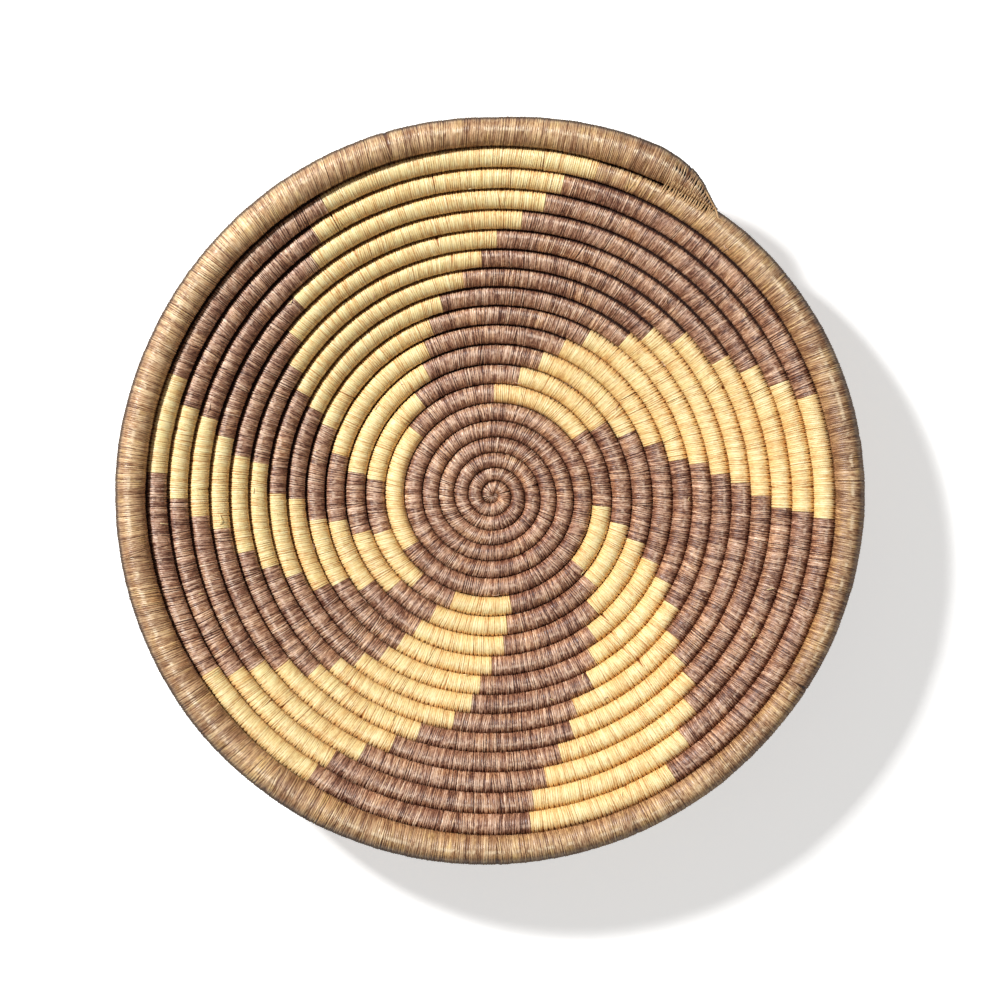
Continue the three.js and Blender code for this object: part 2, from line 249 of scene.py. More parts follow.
def profile_distances():
    """The distance along the bowl's profile at each of TURNS: each turn lies on the one before."""
    first_pitch = np.interp([0, 1], TURNS, WIDTHS).mean()
    distances = START_RADIUS + TURNS * first_pitch
    for index in np.flatnonzero(TURNS > 1):
        before = index - STEPS_PER_TURN
        distances[index] = distances[before] + (WIDTHS[before] + WIDTHS[index]) / 2
    for index in np.flatnonzero(TURNS < 0)[::-1]:
        after = index + STEPS_PER_TURN
        pitch = (WIDTHS[after] + WIDTHS[index]) / 2
        distances[index] = max(distances[after] - pitch, KNOT_RADIUS)
    return distances


DISTANCES = profile_distances()


def profile(turns):
    """Radius, height and slope of the bowl's profile at places along the coil."""
    distance = np.interp(turns, TURNS, DISTANCES)
    bend = np.clip((distance - BASE_RADIUS) / BEND_RADIUS, 0, WALL_SLOPE)
    wall = np.maximum(0, distance - BASE_RADIUS - BEND_RADIUS * WALL_SLOPE)
    radius = (np.minimum(distance, BASE_RADIUS) + BEND_RADIUS * np.sin(bend)
              + wall * math.cos(WALL_SLOPE))
    height = BEND_RADIUS * (1 - np.cos(bend)) + wall * math.sin(WALL_SLOPE)
    return radius, height + HEIGHT_RATIO * half_width(np.minimum(turns, LEVEL_TURNS)), bend


RADII = np.maximum(profile(TURNS)[0], LEAST_BEND_RADIUS)
LENGTHS = np.cumsum(2 * math.pi * RADII / STEPS_PER_TURN)
FOOT_HEIGHT = HEIGHT_RATIO * SEAM_GAP / 2 + FOOT_CUT


def axis_place():
    """The coil's axis in the frame, from the rim's reach to the right and at the top."""
    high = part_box("rim_wrap")[1]
    reach = []
    for turn in RIM_MARKS:
        radius, _, slope = profile(turn)
        half = half_width(turn) - SEAM_GAP / 2
        reach.append(radius + half * (math.cos(slope) + HEIGHT_RATIO / 2 * math.sin(slope)))
    return high[0] / MM - STRETCH_ACROSS * reach[0], high[1] / MM - STRETCH_UP * reach[1]


AXIS_X, AXIS_Y = axis_place()


def places(turns, outwards, upwards):
    """Points in metres, across the coil at places along it."""
    radius, height, slope = profile(turns)
    reach = radius + outwards * np.cos(slope) - upwards * np.sin(slope)
    rise = height + outwards * np.sin(slope) + upwards * np.cos(slope) - FOOT_HEIGHT
    angle = 2 * math.pi * turns
    x = AXIS_X + STRETCH_ACROSS * reach * np.sin(angle)
    y = AXIS_Y + STRETCH_UP * reach * np.cos(angle)
    return np.stack([x, y, np.maximum(rise, 0)], axis=-1) * MM


def round_angles(sides):
    return np.arange(sides) * 2 * math.pi / sides


def squarer(direction):
    return np.sign(direction) * np.abs(direction) ** (2 / SECTION_POWER)


ACROSS, UP = np.cos(round_angles(SIDES)), np.sin(round_angles(SIDES))
ON_TOP = np.clip(UP / WAIST, 0, 1)


def ringwise(stitchwise, closing):
    """A value for each stitch as one for each of its rings, and one for the closing ring."""
    return np.append(np.repeat(stitchwise, len(STITCH_PROFILE)), closing)


class Wrap:
    """Rings of points for one run of wrap, with what its material reads at each of them."""

    def __init__(self, start, end, seed, stitch=STITCH_WIDTH, slots=(), natural=False):
        random = np.random.default_rng(seed)
        first, last = np.interp([start, end], TURNS, LENGTHS)
        count = max(FEWEST_STITCHES, round((last - first) / stitch))
        shares = random.lognormal(0, WIDTH_SPREAD, count)
        edges = first + np.concatenate([[0], np.cumsum(shares)]) / shares.sum() * (last - first)
        middles = (edges[1:] + edges[:-1]) / 2
        leans, cracks = self.splices(random, seed, middles)
        for turn, crack_depth in MARKED_CRACKS:
            if start < turn < end:
                length = np.interp(turn, TURNS, LENGTHS)
                cracks[np.argmin(np.abs(middles - length))] = crack_depth
        heights = random.normal(0, HEIGHT_SPREAD, count)
        faintest, added = GROOVE_DEPTHS
        depths = faintest + added * random.uniform(size=count) ** 3      # most grooves are faint
        tones = random.uniform(size=count)

        parts, rises = np.array(STITCH_PROFILE).T
        widths = (edges[1:] - edges[:-1])[:, None]
        self.length = np.append((edges[:-1, None] + parts * widths).ravel(), last)
        self.turns = np.interp(self.length, LENGTHS, TURNS)
        self.rise = np.append(np.tile(rises, count), -1)
        self.valley = self.rise < 0
        self.crack = ringwise(cracks, 0)
        self.depth = ringwise(depths, 1)
        # The groove value is the painted shade in each ring's groove or crack
        self.groove = self.groove_shade() * (self.depth + self.crack)
        self.tone = ringwise(tones, tones[-1]) + self.stretches(natural)
        self.shadow = self.seam_shadow(natural)
        self.hole = self.holes(slots)
        slope = profile(self.turns)[2][:, None]
        self.sideways = ACROSS * np.cos(slope) - UP * np.sin(slope)
        lift = self.lifts(np.where(self.valley, 0, ringwise(heights, 0)))
        self.points = self.ring_points(lift, self.ring_leans(leans), self.lumpy_half_width(seed))

    @staticmethod
    def splices(random, seed, middles):
        """How far each stitch leans, and the cracks where a new length of raffia begins."""
        size, spacing = LEAN_WAVE
        leans = (LEAN + size * smooth_noise(seed + len(LUMPS), middles, spacing)
                 + random.normal(0, LEAN_SPREAD, len(middles)))
        cracks = np.zeros(len(middles))
        place = middles[0] + random.uniform(*SPLICE_SPACING) * random.uniform(*FIRST_SPLICE)
        while place < middles[-1] - SPLICE_END:
            turned = random.choice([-1, 1]) * random.uniform(*SPLICE_LEAN)
            away = middles - place
            leans += turned * np.sign(away) * np.exp(-np.abs(away) / SPLICE_REACH)
            cracks[np.argmin(np.abs(away))] = random.uniform(*CRACK_DEPTHS)
            place += random.uniform(*SPLICE_SPACING)
        return leans, cracks

    def ring_leans(self, leans):
        """The lean of each ring, where a ring between two stitches has the middle of theirs."""
        before = np.concatenate([leans[:1], leans[:-1]])
        own, last = ringwise(leans, leans[-1]), leans[-1]
        return np.where(self.valley, (own + ringwise(before, last)) / 2, own)

    def groove_shade(self):
        shade_end, power = GROOVE_SHADE
        return np.clip((shade_end - self.rise) / (shade_end + 1), 0, 1) ** power

    def stretches(self, natural):
        """How much paler or darker the run is at each ring."""
        on_coil = 0 if natural else between_stops(self.turns % 1, DYED_TONES)
        # On the rim this is painted light and shade.
        return np.where(self.turns < RIM_START, on_coil, between_stops(self.turns, RIM_PAINTED_LIGHT))

    def seam_shadow(self, natural):
        """How open the seam outside each ring is and how much painted shadow fills it, or on the rim
        how much painted shade darkens its outer edge.
        """
        opened = between_stops(self.turns % 1, SEAM_OPENING_AND_SHADOW) * between_stops(self.turns, CENTRE_SEAMS)
        if natural:
            opened = opened * between_stops(self.turns % 1, NATURAL_SEAMS)
        return np.where(self.turns < RIM_START, opened, between_stops(self.turns % 1, RIM_EDGE_SHADE))

    def over_pairs(self, pattern):
        """A pattern over each pair of stitches as a value for each ring, with 1 at the closing one."""
        return np.append(np.resize(np.array(pattern, dtype=float), len(self.length) - 1), 1)

    def holes(self, slots):
        """How deep the seam holes, cracks, notches and slots are at each point, from 0 to 1."""
        pair_hole = self.over_pairs(HOLE_PATTERN)
        covered = np.clip((RIM_START - self.turns) / SIDE_FADE, 0, 1)[:, None]
        near_seam = np.abs(ACROSS) ** SEAM_POWER * np.clip(np.abs(UP) / WAIST, 0, 1)
        seam_hole = pair_hole[:, None] * near_seam * np.where(ACROSS > 0, covered, INNER_HOLES)
        crack = (between_stops(self.crack, OPEN_CRACK) * self.valley)[:, None] * ON_TOP
        opened = np.where(self.turns < RIM_START, self.shadow, 0)
        notch = opened * (SHUT_NOTCH + (1 - SHUT_NOTCH) * pair_hole)
        notch = notch[:, None] * between_stops(ACROSS, NOTCH) * ON_TOP
        return np.maximum.reduce([seam_hole, crack, notch, *self.slot_rows(slots)])

    def slot_rows(self, slots):
        gap = self.over_pairs(SLOT_PATTERN)
        for row_start, middle in slots:
            opened = np.clip((self.turns - row_start) / SLOT_FADE, 0, 1)
            row = np.clip(1 - np.abs(ACROSS - middle) / SLOT_REACH, 0, 1) * (UP > 0)
            yield (opened * gap)[:, None] * row

    def lifts(self, height):
        """How far each point lies above or below the coil's plain form."""
        every, by_depth = GROOVE_SHARES
        sunk = -GROOVE * (every + by_depth * self.depth)
        depth = np.where(self.valley, sunk, self.rise * CROWN)
        lift = (depth + height)[:, None] - HOLE * self.hole
        lift -= CRACK_STEP * (self.crack * self.valley)[:, None]
        free = (ACROSS > 0) * np.clip((self.turns - RIM_START) / SIDE_FADE, 0, 1)[:, None]
        held = np.maximum(lift, 0) * (1 - free) + lift * free
        return np.where(np.abs(UP) < FLAT_WAIST, held, lift)

    def lumpy_half_width(self, seed):
        lumps = sum(share * smooth_noise(seed + number, self.length, spacing)
                    for number, (share, spacing) in enumerate(LUMPS))
        return (half_width(self.turns) * (1 + lumps))[:, None]

    def ring_points(self, lift, lean, half):
        """The rings' points, moved along the coil where the stitches lean."""
        outwards = (half + OVERLAP + lift) * squarer(ACROSS)
        upwards = (HEIGHT_RATIO * (half - SEAM_GAP / 2) + lift) * squarer(UP)
        if self.turns[0] < 0:
            opened = np.clip((self.turns - self.turns[0]) / KNOT_CURL, KNOT_TIP, 1)[:, None] ** 0.5
            outwards = outwards * opened
            upwards = upwards * (KNOT_RISE + (1 - KNOT_RISE) * opened)
        to_end = np.minimum(self.length - self.length[0], self.length[-1] - self.length)
        shift = lean[:, None] * half * ACROSS * np.clip(to_end / LEAN_FADE, 0, 1)[:, None]
        shifted = np.interp(self.length[:, None] + shift, LENGTHS, TURNS)
        return places(shifted, outwards, upwards)

    def point_values(self):
        """What the material reads at each point, and then at the middles of the run's two ends."""
        rings = len(self.length)
        of_rings = {"along": self.length, "tone": self.tone, "groove": self.groove,
                    "shadow": self.shadow}
        of_points = {"around_x": np.tile(ACROSS, rings), "around_y": np.tile(UP, rings),
                     "sideways": self.sideways.ravel(), "hole": self.hole.ravel()}
        values = {key: np.append(np.repeat(value, SIDES), value[[0, -1]])
                  for key, value in of_rings.items()}
        values.update((key, np.append(value, [0, 0])) for key, value in of_points.items())
        return values


# Meshes and pieces

class Surface:
    """Tubes of one mesh, each with a row of its own in the map for the bake."""

    def __init__(self, rows, margin):
        self.rows = rows
        self.margin = margin
        self.points, self.faces, self.corners = [], [], []
        self.point_count = 0

    def add_points(self, points):
        """Adds points and returns the number of the first."""
        self.points.append(points)
        self.point_count += len(points)
        return self.point_count - len(points)

    def in_map(self, row, along, around):
        """Places in the map, from shares of the way along a tube's row and of the way round it."""
        up = (row + self.margin + (1 - 2 * self.margin) * around) / self.rows
        return np.stack(np.broadcast_arrays(along, up), axis=-1)

    def add_tube(self, row, points, along):
        """Adds rings of points with faces between them, and returns the number of the first point."""
        rings, sides = points.shape[:2]
        start = self.add_points(points.reshape(-1, 3))
        ring, side = (index.ravel() for index in np.indices((rings - 1, sides)))
        corners = ((ring, side), (ring, side + 1), (ring + 1, side + 1), (ring + 1, side))
        self.faces.append(np.stack([start + a * sides + b % sides for a, b in corners], axis=-1))
        self.corners.append(np.stack([self.in_map(row, along[a], b / sides) for a, b in corners],
                                     axis=1))
        return start

    def close_to_middles(self, row, points, start):
        """Closes a tube's two ends with triangles round a point in the middle of each."""
        rings, sides = points.shape[:2]
        middles = self.add_points(points[[0, -1]].mean(axis=1))
        side = np.arange(sides)
        for end, first, second in ((0, side + 1, side), (1, side, side + 1)):
            ring = start + end * (rings - 1) * sides
            middle = np.full(sides, middles + end)
            self.faces.append(np.stack([ring + first % sides, ring + second % sides, middle], axis=-1))
            edge, tip = abs(end - MAP_EDGE), abs(end - MAP_TIP)
            self.corners.append(np.stack([self.in_map(row, edge, first / sides),
                                          self.in_map(row, edge, second / sides),
                                          self.in_map(row, tip, (side + 0.5) / sides)], axis=1))

    def close_flat(self, row, points, start):
        """Closes a tube's two ends with one face each."""
        rings, sides = points.shape[:2]
        angles = round_angles(sides)
        along = STRAND_CAP_MIDDLE[0] + STRAND_CAP_REACH[0] * np.cos(angles)
        up = (row + STRAND_CAP_MIDDLE[1] + STRAND_CAP_REACH[1] * np.sin(angles)) / self.rows
        corners = np.stack([along, up], axis=-1)
        first = start + np.arange(sides)
        last = first + (rings - 1) * sides
        self.faces += [first[None, ::-1], last[None]]
        self.corners += [corners[None, ::-1], corners[None]]

    def mesh(self, name, values=None):
        """The smooth mesh in metres, with values for its material at each point."""
        mesh = bpy.data.meshes.new(name)
        mesh.vertices.add(self.point_count)
        mesh.vertices.foreach_set("co", np.concatenate(self.points).astype(np.float32).ravel())
        face_points = np.concatenate([faces.ravel() for faces in self.faces])
        mesh.loops.add(len(face_points))
        mesh.loops.foreach_set("vertex_index", face_points.astype(np.int32))
        sizes = np.concatenate([np.full(len(faces), faces.shape[1]) for faces in self.faces])
        mesh.polygons.add(len(sizes))
        mesh.polygons.foreach_set("loop_start", (np.cumsum(sizes) - sizes).astype(np.int32))
        mesh.polygons.foreach_set("use_smooth", np.ones(len(sizes), dtype=bool))
        mesh.update(calc_edges=True)
        corners = np.concatenate([corners.reshape(-1, 2) for corners in self.corners])
        layer = mesh.uv_layers.new(name="OFBake")
        layer.data.foreach_set("uv", corners.astype(np.float32).ravel())
        for key, value in (values or {}).items():
            attribute = mesh.attributes.new(key, "FLOAT", "POINT")
            attribute.data.foreach_set("value", value.astype(np.float32))
        mesh.validate()
        return mesh


def add_piece(name, mesh, material, nodes):
    """Puts a piece into the scene, on the root and over the nodes that it replaces."""
    mesh.materials.append(material)
    piece = bpy.data.objects.new(name, mesh)
    bpy.context.scene.collection.objects.link(piece)
    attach(piece, "root")
    if nodes:
        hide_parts(*nodes)


def wrap_piece(name, wraps, kind, nodes):
    """One piece from runs of wrap."""
    surface = Surface(len(wraps), WRAP_MARGIN)
    for row, wrap in enumerate(wraps):
        share = (wrap.length - wrap.length[0]) / (wrap.length[-1] - wrap.length[0])
        start = surface.add_tube(row, wrap.points, MAP_EDGE + (1 - 2 * MAP_EDGE) * share)
        surface.close_to_middles(row, wrap.points, start)
    of_wraps = [wrap.point_values() for wrap in wraps]
    values = {key: np.concatenate([of_wrap[key] for of_wrap in of_wraps]) for key in ATTRIBUTES}
    add_piece(name, surface.mesh(name, values), RAFFIA[kind], nodes)


def strand_piece(name, strands, kind, nodes=()):
    """One piece from thin strands, each given by its line, the way beside it, width and thickness."""
    surface = Surface(len(strands), STRAND_MARGIN)
    for row, strand in enumerate(strands):
        points = strand_points(*strand)
        start = surface.add_tube(row, points, np.arange(len(points)) / len(points))
        surface.close_flat(row, points, start)
    add_piece(name, surface.mesh(name), FIBRES[kind], nodes)


# Materials

FIELDS = {                # noise by name: its scale along the coil, its scale round it, its detail
    "fine": (2.6, 0.9, 3.0), "strand": (1.2, 0.9, 2.0), "broken": (1.6, 2.6, 2.0),
    "patch": (0.055, 0.2, 2.0), "mottle": (0.26, 0.9, 2.0)}
FIELD_ROUGHNESS = 0.6
TONE_SHARES = {"tone": 0.4, "strand": 0.4, "broken": 0.75, "fine": 1.1, "patch": 0.35}
TINT_PLACES = (0.3, 0.5, 0.7)
PATCH_SHARE = 0.85
INNER_SHARE = 0.8
STREAK_SHARE = 0.6
OUTLINE_SHARE = 0.85
SHADOW_SHARE = 0.95

# Where each effect begins and where it is full, by the value that it follows
# TOWARDS_INSIDE, TOWARDS_OUTSIDE and INNER_SHARE give the painted shade on the coil's two sides
TOWARDS_INSIDE = (0.25, -1.0)
TOWARDS_OUTSIDE = (0.3, 0.95)
ON_FACE = (0.1, 0.3)
# Where the painted highlights on the crest and the sheen lie and where they break
CREST_WIDTH = (0.5, 0.1)
CREST_BREAKS = (0.35, 0.65)
SHEEN_WIDTH = (0.2, 0.03)
SHEEN_PATCHES = (0.46, 0.58)
STREAKS = (0.44, 0.34)
LINE_BREAKS = (0.3, 0.7)
LINE_STRENGTHS = (0.9, 0.35)
# Where the painted shade at the seam's sides and in its holes begins and where it is full
SEAM_SIDE = (0.72, 0.98)
SEAM_HOLE = (0.12, 0.6)
SHADOWED_EDGE = (0.86, 0.98)
# OUTLINE_EDGE and OUTLINE_SHARE place the painted shade on the rim's outer edge
OUTLINE_EDGE = (0.7, 0.9)
GROOVE_AT_EDGE = 0.03     # how much a groove and a hole move the shadow's edge
HOLE_AT_EDGE = 0.25

ROUGH_STRANDS = (0.3, 0.7)
ROUGHER = 0.14
SMOOTHER = 0.06
SHADOW_ROUGHNESS = 0.45
BUMP_STRENGTH = 0.6
BUMP_DISTANCE = 0.00012
STRAND_ROUGHNESS = 0.5


def from_srgb(red, green, blue):
    """A linear colour from one as a screen shows it, 0 to 255."""
    def linear(value):
        value /= 255
        return value / 12.92 if value <= 0.04045 else ((value + 0.055) / 1.055) ** 2.4
    return linear(red), linear(green), linear(blue)


class Shading:
    """The nodes of one material."""

    def __init__(self, name):
        self.material = bpy.data.materials.new(name)
        self.material.use_nodes = True
        self.nodes = self.material.node_tree.nodes
        self.links = self.material.node_tree.links
        self.shader = self.nodes["Principled BSDF"]

    def feed(self, socket, value):
        """Gives a socket a number, a colour or what another node puts out."""
        if isinstance(value, (int, float)):
            socket.default_value = value
        elif isinstance(value, tuple):
            socket.default_value = (*value, 1)
        else:
            self.links.new(value, socket)

    def shade(self, name, value):
        self.feed(self.shader.inputs[name], value)

    def attribute(self, name):
        node = self.nodes.new("ShaderNodeAttribute")
        node.attribute_name = name
        return node.outputs["Fac"]

    def math(self, operation, *values, clamp=False):
        node = self.nodes.new("ShaderNodeMath")
        node.operation = operation
        node.use_clamp = clamp
        for socket, value in zip(node.inputs, values):
            self.feed(socket, value)
        return node.outputs[0]

    def times(self, product, *factors):
        for factor in factors:
            product = self.math("MULTIPLY", product, factor)
        return product

    def plus(self, a, b):
        return self.math("ADD", a, b)

    def fade(self, value, from_range, to_range=(0, 1)):
        """A value's range carried over to another range, smoothly."""
        node = self.nodes.new("ShaderNodeMapRange")
        node.interpolation_type = "SMOOTHSTEP"
        for socket, number in zip(node.inputs, (value, *from_range, *to_range)):
            self.feed(socket, number)
        return node.outputs[0]

    def mix(self, colour, other, factor, blend="MIX"):
        node = self.nodes.new("ShaderNodeMix")
        node.data_type = "RGBA"
        node.blend_type = blend
        for number, value in ((0, factor), (6, colour), (7, other)):
            self.feed(node.inputs[number], value)
        return node.outputs[2]

    def tint(self, colour, other, factor=1):
        return self.mix(colour, other, factor, "MULTIPLY")

    def ramp(self, value, positions, colours):
        node = self.nodes.new("ShaderNodeValToRGB")
        elements = node.color_ramp.elements
        while len(elements) < len(colours):
            elements.new(0.5)
        for element, position, colour in zip(elements, positions, colours):
            element.position = position
            element.color = (*colour, 1)
        self.feed(node.inputs["Fac"], value)
        return node.outputs["Color"]

    def noise(self, place, scales, detail):
        """Noise at a place of three values, each times its scale."""
        vector = self.nodes.new("ShaderNodeCombineXYZ")
        for socket, value in zip(vector.inputs, place):
            self.feed(socket, value)
        scaled = self.nodes.new("ShaderNodeVectorMath")
        scaled.operation = "MULTIPLY"
        scaled.inputs[1].default_value = scales
        self.feed(scaled.inputs[0], vector.outputs[0])
        node = self.nodes.new("ShaderNodeTexNoise")
        node.inputs["Scale"].default_value = 1
        node.inputs["Detail"].default_value = detail
        node.inputs["Roughness"].default_value = FIELD_ROUGHNESS
        self.feed(node.inputs["Vector"], scaled.outputs[0])
        return node.outputs["Fac"]

    def bump(self, height):
        node = self.nodes.new("ShaderNodeBump")
        node.inputs["Strength"].default_value = BUMP_STRENGTH
        node.inputs["Distance"].default_value = BUMP_DISTANCE
        self.feed(node.inputs["Height"], height)
        self.shade("Normal", node.outputs[0])


class WrapShading(Shading):
    """Wrapped raffia: a tone for each stitch, fine fibres along it, painted shade in its grooves and
    seam holes, painted highlights on its crests and painted shadow in its open seams.
    """

    def __init__(self, name):
        super().__init__(name)
        self.read = {key: self.attribute(key) for key in ATTRIBUTES}
        place = [self.read[key] for key in ("along", "around_x", "around_y")]
        for key, (lengthwise, round_coil, detail) in FIELDS.items():
            self.read[key] = self.noise(place, (lengthwise, round_coil, round_coil), detail)
        self.from_top = self.math("ABSOLUTE", self.read["sideways"])
        self.on_face = self.fade(self.read["around_y"], ON_FACE)

    def toned(self, tones, patches, stretches, contrast):
        """The raffia's own colour, in a tone of its own for each stitch and fibre."""
        value = 0.5 - contrast * sum(TONE_SHARES.values()) / 2
        for key, share in TONE_SHARES.items():
            value = self.plus(self.times(self.read[key], contrast * share), value)
        colour = self.ramp(value, np.linspace(0, 1, len(tones)), [from_srgb(*tone) for tone in tones])
        tint = self.ramp(self.read["mottle"], TINT_PLACES, (patches[0], (1, 1, 1), patches[1]))
        colour = self.tint(colour, tint, PATCH_SHARE)
        tint = self.ramp(self.read["patch"], TINT_PLACES, (stretches[0], (1, 1, 1), stretches[1]))
        return self.tint(colour, tint)

    def sided(self, colour, inner_side_shade, outer_side_shade):
        """Painted shade towards the coil's inner and outer side."""
        across = self.read["around_x"]
        inner = self.times(self.fade(across, TOWARDS_INSIDE), INNER_SHARE)
        colour = self.tint(colour, inner_side_shade, inner)
        return self.tint(colour, outer_side_shade, self.fade(across, TOWARDS_OUTSIDE))

    def painted_highlights(self, colour, crest, crest_share, sheen_share):
        """A broken painted highlight on the crest, where the coil's face turns up, and a narrow
        painted sheen on some stretches of it.
        """
        breaks = self.fade(self.read["broken"], CREST_BREAKS)
        on_crest = self.times(self.fade(self.from_top, CREST_WIDTH), self.on_face, breaks)
        colour = self.mix(colour, crest, self.times(on_crest, crest_share))
        stretches = self.fade(self.read["mottle"], SHEEN_PATCHES)
        sheen = self.times(self.fade(self.from_top, SHEEN_WIDTH), self.on_face, stretches)
        return self.mix(colour, crest, self.times(sheen, sheen_share))

    def streaks_and_groove_shade(self, colour, line, contrast):
        """Dark streaks along the fibres, and painted shade in the grooves and cracks between the
        stitches.
        """
        streaks = self.fade(self.read["fine"], STREAKS)
        colour = self.mix(colour, line, self.times(streaks, STREAK_SHARE))
        breaks = self.fade(self.read["broken"], LINE_BREAKS, LINE_STRENGTHS)
        return self.mix(colour, line, self.times(self.read["groove"], breaks, contrast))

    def shaded_seams(self, colour, seam, edge):
        """Painted shade in the seam holes, cracks and slots, and a touch of the same painted shade all
        along the seam.
        """
        side = self.fade(self.math("ABSOLUTE", self.read["around_x"]), SEAM_SIDE)
        hole = self.fade(self.read["hole"], SEAM_HOLE)
        return self.mix(colour, seam, self.plus(self.times(side, edge), hole))

    def shadows(self, outline):
        """The painted shadow in the open seams, with an edge that follows the stitches, or the painted
        shade on the rim's outer edge.
        """
        if outline:
            edge, share = self.fade(self.read["sideways"], OUTLINE_EDGE), OUTLINE_SHARE
        else:
            notches = self.plus(self.times(self.read["groove"], GROOVE_AT_EDGE),
                                self.times(self.read["hole"], HOLE_AT_EDGE))
            edge = self.fade(self.plus(self.read["around_x"], notches), SHADOWED_EDGE)
            share = SHADOW_SHARE
        return self.times(edge, self.times(self.read["shadow"], share))

    def finish(self, roughness, shadows):
        """How rough it is, and its fibres' relief."""
        rough = self.fade(self.read["strand"], ROUGH_STRANDS,
                          (roughness + ROUGHER, roughness - SMOOTHER))
        in_shadow = self.times(shadows, SHADOW_ROUGHNESS)
        self.shade("Roughness", self.math("ADD", rough, in_shadow, clamp=True))
        self.bump(self.read["fine"])


def raffia(name, tones, patches, stretches, inner_side_shade, outer_side_shade, crest, crest_share, sheen_share,
           line, seam, deep, edge, contrast, roughness, outline=False):
    """A raffia material. The tones run from the darkest to the palest, as a screen shows them. The
    patches and stretches have a darker and a paler tint, and the sides a tint of painted shade each.
    The crest colour is a painted highlight, the seam colour and edge are painted shade at the seams,
    the line colour is both the fibres' own streaks and painted shade in the grooves, and deep is the
    colour of the painted shadow."""
    shading = WrapShading(name)
    colour = shading.toned(tones, patches, stretches, contrast)
    colour = shading.sided(colour, inner_side_shade, outer_side_shade)
    colour = shading.painted_highlights(colour, crest, crest_share, sheen_share)
    colour = shading.streaks_and_groove_shade(colour, line, contrast)
    colour = shading.shaded_seams(colour, seam, edge)
    shadows = shading.shadows(outline)
    # deep is the colour of the painted shadow in open seams and of the painted shade on the rim's edge
    shading.shade("Base Color", shading.mix(colour, deep, shadows))
    shading.finish(roughness, shadows)
    return shading.material


def fibre_material(name, colour):
    shading = Shading(name)
    shading.shade("Base Color", colour)
    shading.shade("Roughness", STRAND_ROUGHNESS)
    return shading.material


# Crest colours are painted highlights; seam and deep colours and the side tints are painted shade and
# shadow
RAFFIA = {
    "natural": raffia(
        "natural_raffia", contrast=0.9, roughness=0.5, edge=0.08,
        tones=[(192, 148, 86), (229, 198, 137), (242, 223, 163), (249, 236, 184), (253, 246, 212)],
        patches=[(1.0, 0.92, 0.83), (0.98, 1.0, 0.92)],
        stretches=[(1.0, 0.93, 0.84), (1.0, 1.0, 0.94)],
        inner_side_shade=(1.0, 0.82, 0.64), outer_side_shade=(1.0, 0.88, 0.80),
        crest=from_srgb(255, 244, 204), crest_share=0.15, sheen_share=0.25,
        line=from_srgb(190, 130, 70), seam=from_srgb(132, 66, 24), deep=from_srgb(48, 20, 7)),
    "dyed": raffia(
        "dyed_raffia", contrast=1.35, roughness=0.42, edge=0.16,
        tones=[(86, 46, 32), (138, 94, 70), (182, 139, 110), (214, 176, 146), (240, 212, 186)],
        patches=[(0.95, 0.90, 0.91), (1.0, 0.96, 0.84)],
        stretches=[(0.84, 0.78, 0.81), (1.08, 1.01, 0.88)],
        inner_side_shade=(0.96, 0.82, 0.76), outer_side_shade=(1, 1, 1),
        crest=from_srgb(236, 206, 182), crest_share=0.3, sheen_share=0.6,
        line=from_srgb(68, 33, 23), seam=from_srgb(108, 58, 44), deep=from_srgb(26, 12, 8)),
    "rim": raffia(
        "rim_raffia", contrast=1.1, roughness=0.42, edge=0.2,
        tones=[(112, 76, 50), (164, 125, 90), (202, 165, 125), (226, 193, 149), (246, 222, 182)],
        patches=[(0.92, 0.80, 0.72), (1.0, 0.98, 0.74)],
        stretches=[(0.80, 0.74, 0.72), (1.08, 1.03, 0.86)],
        inner_side_shade=(0.80, 0.66, 0.54), outer_side_shade=(1, 1, 1),
        crest=from_srgb(246, 222, 186), crest_share=0.25, sheen_share=0.7,
        line=from_srgb(100, 62, 38), seam=from_srgb(40, 20, 12), deep=from_srgb(44, 28, 16),
        outline=True)}
FIBRES = {
    "natural": fibre_material("natural_fibre", from_srgb(252, 232, 176)),
    "dyed": fibre_material("dyed_fibre", from_srgb(206, 170, 146)),
    "rim": fibre_material("rim_fibre", from_srgb(196, 160, 116))}


# The runs of wrap

def natural_runs(arm, first_turn):
    return [(first_turn + winding + begin / 360, first_turn + winding + end / 360)
            for winding, (begin, end) in enumerate(zip(*arm))]


def dyed_runs(before, after):
    return [(earlier[1], later[0]) for earlier, later in zip(before, after)]


def arm_pieces(kind, arm, runs):
    """The pieces of one arm from the inside outwards, each of a few runs."""
    node = f"{kind}_arm_{arm + 1}"
    seed = SEEDS[kind] + SEEDS_PER_ARM * arm
    bounds = [*range(0, len(runs) - 1, RUNS_PER_PIECE), len(runs)]
    for part, (first, last) in enumerate(zip(bounds, bounds[1:])):
        wraps = [Wrap(*runs[number], seed + SEEDS_PER_RUN * number, natural=kind == "natural")
                 for number in range(first, last)]
        wrap_piece(f"{node}_part_{part + 1}", wraps, kind, [node])


def make_arms(inner_arm, other_arms):
    """Natural arms, and dyed arms that fill the coil from each natural arm to the next."""
    for arm, runs in enumerate([*other_arms, inner_arm]):
        arm_pieces("natural", arm, runs)
    in_order = [inner_arm[:-1], *other_arms, inner_arm[1:]]
    for arm, (before, after) in enumerate(zip(in_order, in_order[1:])):
        arm_pieces("dyed", arm, dyed_runs(before, after))


def make_centre(end):
    marks = [INNER_START, *CENTRE_JOINS, end]
    wraps = [Wrap(first, last, SEEDS["centre"] + number,
                  stitch=TIGHT_STITCH if first == INNER_START else STITCH_WIDTH)
             for number, (first, last) in enumerate(zip(marks, marks[1:]))]
    wrap_piece("centre_wrap_coils", wraps, "dyed", ["centre_wrap", "foundation_coil"])


